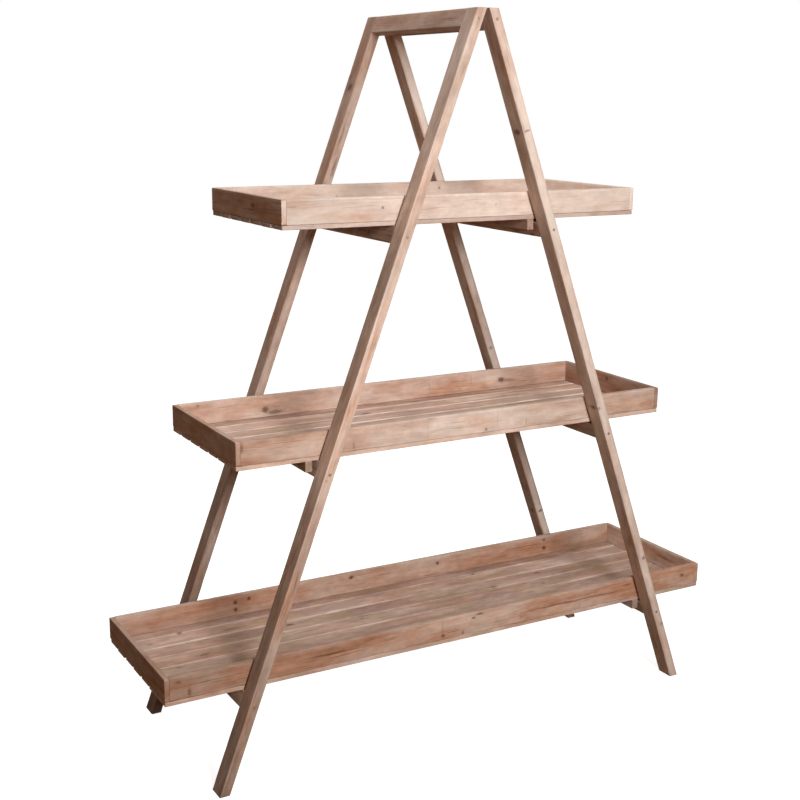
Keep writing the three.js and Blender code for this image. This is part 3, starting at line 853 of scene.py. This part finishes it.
def make_slats(tray, tree, seed):
    """The seven slats of a tray, laid as a row round the middle one and put in its place."""
    nodes = [f"{tray}_tray_slat_{k + 1}" for k in range(SLATS)]
    middle = Board(nodes[SLATS // 2], X, Y)
    low = [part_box(node)[0].y for node in nodes]
    pitch = (low[-1] - low[0]) / (SLATS - 1)
    centre = middle.centre.copy()
    middle.centre = Vector((0, 0, 0))
    looks = TRAY_LOOKS[tray]
    # The slats' pale arrises are thick wash and a painted highlight.
    blank = saw(f"{tray}_tray_slats", middle, seed, looks["slats"], None, BOARD_CORNER,
                side_wash=looks["slat_sides"], arris_wash_and_highlight=SLAT_ARRIS_WASH_AND_HIGHLIGHT, zone=SLAT_EDGE_ZONE)
    slot = "weathered_fir_slats"
    row = grow(blank, tree, {"Pitch": pitch, "Seed": seed, "Material": FIRS[slot]})
    row.data.transform(Matrix.Translation(centre))
    rows = np.array([round((v.co.y - centre.y) / pitch) for v in row.data.vertices])
    hide_outer_wash_and_highlight(row, centre.y, (SLATS - 1) / 2 * pitch)
    origin = Vector((centre.x, 0, centre.z))
    mark_timber(row, marks_from(origin, X, Y, SLAT_MARKS[tray], pitch), rows)
    stand_for(row, f"{tray}_tray", slot, *nodes)


def head_tree(name, radius, rise, sides, top_share, recess=0.0):
    """A steel head on every point, square to the direction that the point faces, turned at
    random, and in a ring of stained wood. A screw's has a cross recess, a nail's is chamfered."""
    tree, given = new_tree(name, {
        "Head Radius": radius, "Head Rise": rise, "Recess Width": recess,
        "Stain Width": STAIN_WIDTH, "Seed": LEG_SCREW_SEED, "Metal": None, "Stain": None})
    top, bar_length, ring_rise = (
        add(tree, "ShaderNodeMath", {0: given[size], 1: share}, operation="MULTIPLY")
        for size, share in (("Head Radius", top_share), ("Head Radius", 1.25), ("Head Rise", 0.3)))
    head = add(tree, "GeometryNodeMeshCone", {
        "Vertices": sides, "Side Segments": 1, "Radius Top": top,
        "Radius Bottom": given["Head Radius"], "Depth": given["Head Rise"]}, out="Mesh")
    if recess:
        bar = add(tree, "ShaderNodeCombineXYZ", {
            "X": bar_length, "Y": given["Recess Width"], "Z": given["Head Rise"]})
        bar = add(tree, "GeometryNodeMeshCube", {"Size": bar}, out="Mesh")
        raised = add(tree, "ShaderNodeCombineXYZ", {"Z": given["Head Rise"]})
        bar = add(tree, "GeometryNodeTransform", {"Geometry": bar, "Translation": raised})
        other = add(tree, "GeometryNodeTransform", {"Geometry": bar, "Rotation": (0, 0, math.pi / 2)})
        bars = add(tree, "GeometryNodeJoinGeometry", {"Geometry": [bar, other]})
        head = add(tree, "GeometryNodeMeshBoolean", {
            "Mesh 1": head, "Mesh 2": bars, "Self Intersection": True},
            out="Mesh", solver="EXACT", operation="DIFFERENCE")
    wide = add(tree, "ShaderNodeMath", {
        0: given["Head Radius"], 1: given["Stain Width"]}, operation="ADD")
    ring = add(tree, "GeometryNodeMeshCone", {
        "Vertices": 24, "Side Segments": 1, "Radius Top": given["Head Radius"],
        "Radius Bottom": wide, "Depth": ring_rise}, out="Mesh")
    ring = add(tree, "GeometryNodeStoreNamedAttribute", {
        "Geometry": ring, "Name": "stained", "Value": True}, data_type="BOOLEAN", domain="FACE")
    both = add(tree, "GeometryNodeJoinGeometry", {"Geometry": [head, ring]})
    facing = add(tree, "GeometryNodeInputNamedAttribute", {"Name": "facing"}, **VECTOR)
    turn = add(tree, "FunctionNodeAlignRotationToVector", {"Vector": facing}, axis="Z")
    spin = add(tree, "FunctionNodeRandomValue", {"Max": math.pi, "Seed": given["Seed"]},
               out="Value", data_type="FLOAT")
    spin = add(tree, "ShaderNodeCombineXYZ", {"Z": spin})
    spin = add(tree, "FunctionNodeEulerToRotation", {"Euler": spin})
    turn = add(tree, "FunctionNodeRotateRotation", {
        "Rotation": turn, "Rotate By": spin}, rotation_space="LOCAL")
    heads = add(tree, "GeometryNodeInstanceOnPoints", {
        "Points": given["Geometry"], "Instance": both, "Rotation": turn})
    heads = add(tree, "GeometryNodeRealizeInstances", {"Geometry": heads})
    stained = add(tree, "GeometryNodeInputNamedAttribute", {"Name": "stained"}, data_type="BOOLEAN")
    heads = add(tree, "GeometryNodeSetMaterial", {"Geometry": heads, "Material": given["Metal"]})
    heads = add(tree, "GeometryNodeSetMaterial", {
        "Geometry": heads, "Selection": stained, "Material": given["Stain"]})
    add(tree, "NodeGroupOutput", {"Geometry": heads})
    return tree


def points_piece(name, places):
    """A piece of loose points, each with the direction it faces."""
    mesh = bpy.data.meshes.new(name)
    mesh.from_pydata([place for place, _ in places], [], [])
    facing = mesh.attributes.new("facing", "FLOAT_VECTOR", "POINT")
    for index, (_, direction) in enumerate(places):
        facing.data[index].vector = direction
    return new_object(name, mesh)


def leg_screws():
    """One screw through each leg into the end of each rung and rail, on the middle of the rung."""
    places = []
    for side_name in SIDES:
        for kind in RAIL_LOOKS:
            low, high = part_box(f"{kind}_{side_name}")
            middle = (low + high) / 2
            for end_name, end in ENDS.items():
                leg_low, leg_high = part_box(f"leg_{end_name}_{side_name}")
                face = leg_low.y if end < 0 else leg_high.y
                places.append((Vector((middle.x, face, middle.z)), Y * end))
    return places


def leaf_screws():
    """Three screws in each hinge leaf, in the valley between the two leaning top rails."""
    low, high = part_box("hinge_front_pin")
    pin = (low.z + high.z) / 2
    places = []
    for side in SIDES.values():
        up, out = ladder_axes(side)
        for end in ENDS.values():
            for step in (-1, 0, 1):
                place = Vector((0, end * HINGE_MIDDLE + step * LEAF_SCREW_PITCH, pin))
                places.append((place + out * LEAF_SCREW_ACROSS - up * LEAF_SCREW_DROP, -out))
    return places


def tray_nails(tray):
    """Nails through the end boards into the side boards, up through the slats into the end
    boards, and up through the cleats into the slats."""
    places = []
    slats = [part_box(f"{tray}_tray_slat_{k + 1}") for k in range(SLATS)]
    for side_name, side in SIDES.items():
        low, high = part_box(f"{tray}_tray_end_{side_name}")
        middle = (low + high) / 2
        outer = high.x if side > 0 else low.x
        for end_name in ENDS:
            board_low, board_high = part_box(f"{tray}_tray_board_{end_name}")
            for share in (-NAIL_SPREAD, NAIL_SPREAD):
                height = middle.z + share * (high.z - low.z)
                places.append((Vector((outer, (board_low.y + board_high.y) / 2, height)), X * side))
        cleat_low, cleat_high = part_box(f"{tray}_tray_cleat_{side_name}")
        for slat_low, slat_high in slats:
            across = (slat_low.y + slat_high.y) / 2
            places.append((Vector(((cleat_low.x + cleat_high.x) / 2, across, cleat_low.z)), -Z))
            for share in (-NAIL_SPREAD, NAIL_SPREAD):
                spread = across + share * (slat_high.y - slat_low.y)
                places.append((Vector((middle.x, spread, slat_low.z)), -Z))
    return places


def make_fixings():
    screw = head_tree("screw heads", SCREW_HEAD_RADIUS, SCREW_HEAD_RISE, 24, 1.0, SCREW_RECESS)
    nail = head_tree("nail heads", NAIL_HEAD_RADIUS, NAIL_HEAD_RISE, 12, 0.75)
    worn = {"Metal": DULL_STEEL, "Stain": STAIN}
    fixings = [
        ("leg_screws", "frame", leg_screws(), screw, {**worn, "Seed": LEG_SCREW_SEED}),
        ("leaf_screws", "frame", leaf_screws(), screw, {
            "Head Radius": LEAF_SCREW_RADIUS, "Stain Width": LEAF_SCREW_RIM,
            "Seed": LEAF_SCREW_SEED, "Metal": ZINC, "Stain": ZINC})]
    for index, tray in enumerate(TRAYS):
        fixings.append((f"{tray}_tray_nails", f"{tray}_tray", tray_nails(tray), nail, {
            **worn, "Stain Width": NAIL_STAIN_WIDTH, "Seed": NAIL_SEED + index}))
    for name, body, places, tree, values in fixings:
        piece = grow(points_piece(name, places), tree, values)
        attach(piece, body)


def dress_hinges():
    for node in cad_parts.values():
        if node.name.startswith("hinge"):
            node.data.materials.clear()
            node.data.materials.append(ZINC)


# ---- floor, lights and camera ----

FLOOR_REACH = 12


def make_floor():
    """A pale floor that shows white, keeps a soft shadow, and throws little light back up."""
    material, tree = new_material("pale studio floor")
    seen = add(tree, "ShaderNodeLightPath", out="Is Camera Ray")
    place = add(tree, "ShaderNodeTexCoord", out="Object")
    away = add(tree, "ShaderNodeVectorMath", {0: place}, out="Value", operation="LENGTH")
    glow = add(tree, "ShaderNodeMapRange", {
        "Value": away, "From Min": 1.0, "From Max": 2.2, "To Min": 0.9, "To Max": 1.0})
    glow = add(tree, "ShaderNodeMath", {0: glow, 1: seen}, operation="MULTIPLY")
    tint = add(tree, "ShaderNodeMix", {
        "Factor": seen, "A": linear("#8c745d"), "B": linear("#c8c8c8")}, **COLOUR_MIX)
    surface(tree, {
        "Base Color": tint, "Roughness": 0.9, "Specular IOR Level": 0.0,
        "Emission Color": (1, 1, 1, 1), "Emission Strength": glow})
    mesh = bpy.data.meshes.new("studio_floor")
    corners = [(x * FLOOR_REACH, y * FLOOR_REACH, 0) for x, y in ((-1, -1), (1, -1), (1, 1), (-1, 1))]
    mesh.from_pydata(corners, [], [(0, 1, 2, 3)])
    mesh.materials.append(material)
    new_object("studio_floor", mesh)


# A softbox in front, a little above the stand, and two soft lamps over and behind it: where each
# stands, what it points at, its size in metres and its power in watts.
LAMPS = {
    "key softbox": ((-0.42, -2.8, 1.87), (0.0, 0.0, 0.75), 0.75, 80),
    "back softbox": ((-0.1, 1.5, 2.6), (0.0, 0.0, 0.5), 1.1, 19),
    "overhead fill": ((-0.3, 0.3, 3.0), (0.0, 0.0, 0.9), 1.0, 8),
}


def make_lamps():
    for name, (place, aim, size, power) in LAMPS.items():
        lamp = bpy.data.lights.new(name, "AREA")
        lamp.shape = "SQUARE"
        lamp.size = size
        lamp.energy = power
        holder = new_object(name, lamp)
        holder.location = place
        holder.rotation_mode = "QUATERNION"
        holder.rotation_quaternion = (Vector(place) - Vector(aim)).to_track_quat("Z", "Y")


def make_world():
    """A white studio to the eye and in gloss, and a dim warm one as light on the stand."""
    world = bpy.data.worlds.new("studio")
    world.use_nodes = True
    bpy.context.scene.world = world
    tree = world.node_tree
    tree.nodes.clear()
    rays = add(tree, "ShaderNodeLightPath").node.outputs
    shown = rays["Is Camera Ray"]
    for ray in ("Is Glossy Ray", "Is Transmission Ray"):
        shown = add(tree, "ShaderNodeMath", {0: shown, 1: rays[ray]}, operation="MAXIMUM")
    tint = add(tree, "ShaderNodeMix", {
        "Factor": shown, "A": linear("#6b5847"), "B": (1, 1, 1, 1)}, **COLOUR_MIX)
    sky = add(tree, "ShaderNodeBackground", {"Color": tint, "Strength": 1.0})
    add(tree, "ShaderNodeOutputWorld", {"Surface": sky})


CAMERA_PLACE = Vector((-1.4044, -2.3615, 1.3368))
CAMERA_AZIMUTH = math.radians(-29.655)
CAMERA_ELEVATION = math.radians(13.304)
CAMERA_ROLL = math.radians(0.535)
SENSOR_WIDTH = 36
FOCAL_LENGTH = 58.237


def make_camera():
    lens = bpy.data.cameras.new("photo camera")
    lens.sensor_width = SENSOR_WIDTH
    lens.lens = FOCAL_LENGTH
    lens.clip_start = 0.1
    lens.clip_end = 60
    back = Vector((
        math.sin(CAMERA_AZIMUTH) * math.cos(CAMERA_ELEVATION),
        -math.cos(CAMERA_AZIMUTH) * math.cos(CAMERA_ELEVATION),
        math.sin(CAMERA_ELEVATION)))
    camera = new_object("photo camera", lens)
    camera.location = CAMERA_PLACE
    camera.rotation_mode = "QUATERNION"
    camera.rotation_quaternion = back.to_track_quat("Z", "Y") @ Quaternion((0, 0, 1), CAMERA_ROLL)
    bpy.context.scene.camera = camera


# ---- assembly ----

make_legs()
make_cross_pieces()
slat_row = slat_row_tree()
for order, tray_name in enumerate(TRAYS):
    make_boards(tray_name, BOARD_SEED + 10 * order)
    make_slats(tray_name, slat_row, SLAT_SEED + order)
make_fixings()
dress_hinges()
make_floor()
make_lamps()
make_world()
make_camera()
bpy.context.scene.view_settings.view_transform = "Standard"
